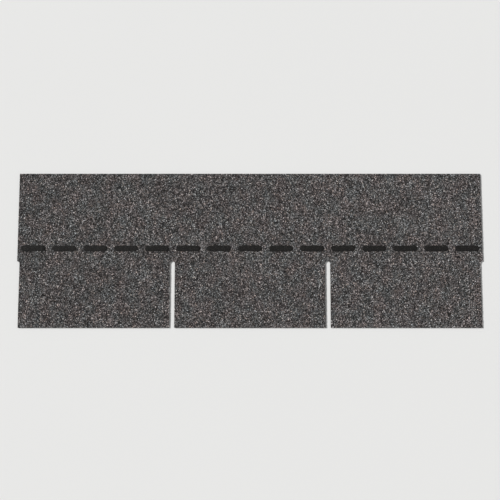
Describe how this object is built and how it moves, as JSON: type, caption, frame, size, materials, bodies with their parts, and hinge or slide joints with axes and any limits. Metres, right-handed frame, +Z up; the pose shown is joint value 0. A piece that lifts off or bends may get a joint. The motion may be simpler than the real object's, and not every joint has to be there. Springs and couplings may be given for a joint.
{
  "type": "three-tab asphalt strip shingle",
  "caption": "Flat rectangular roofing strip with a granule-surfaced face, slots from its lower edge that part the tabs, and a row of adhesive dashes above them.",
  "frame": {"origin": "middle of the strip's plan rectangle, on its underside", "axes": "+X along the strip, +Y up the roof from the butt edge to the headlap edge, +Z up out of the granule face"},
  "size_m": [0.9144, 0.3048, 0.0036],
  "materials": {
    "mineral_surface": "matte",
    "sealant": "satin"
  },
  "bodies": {
    "root": {"shingle_sheet": "mineral_surface", "sealant_dash_01": "sealant", "sealant_dash_02": "sealant", "sealant_dash_03": "sealant", "sealant_dash_04": "sealant", "sealant_dash_05": "sealant", "sealant_dash_06": "sealant", "sealant_dash_07": "sealant", "sealant_dash_08": "sealant", "sealant_dash_09": "sealant", "sealant_dash_10": "sealant", "sealant_dash_11": "sealant", "sealant_dash_12": "sealant", "sealant_dash_13": "sealant", "sealant_dash_14": "sealant", "sealant_dash_15": "sealant"}
  },
  "joints": []
}
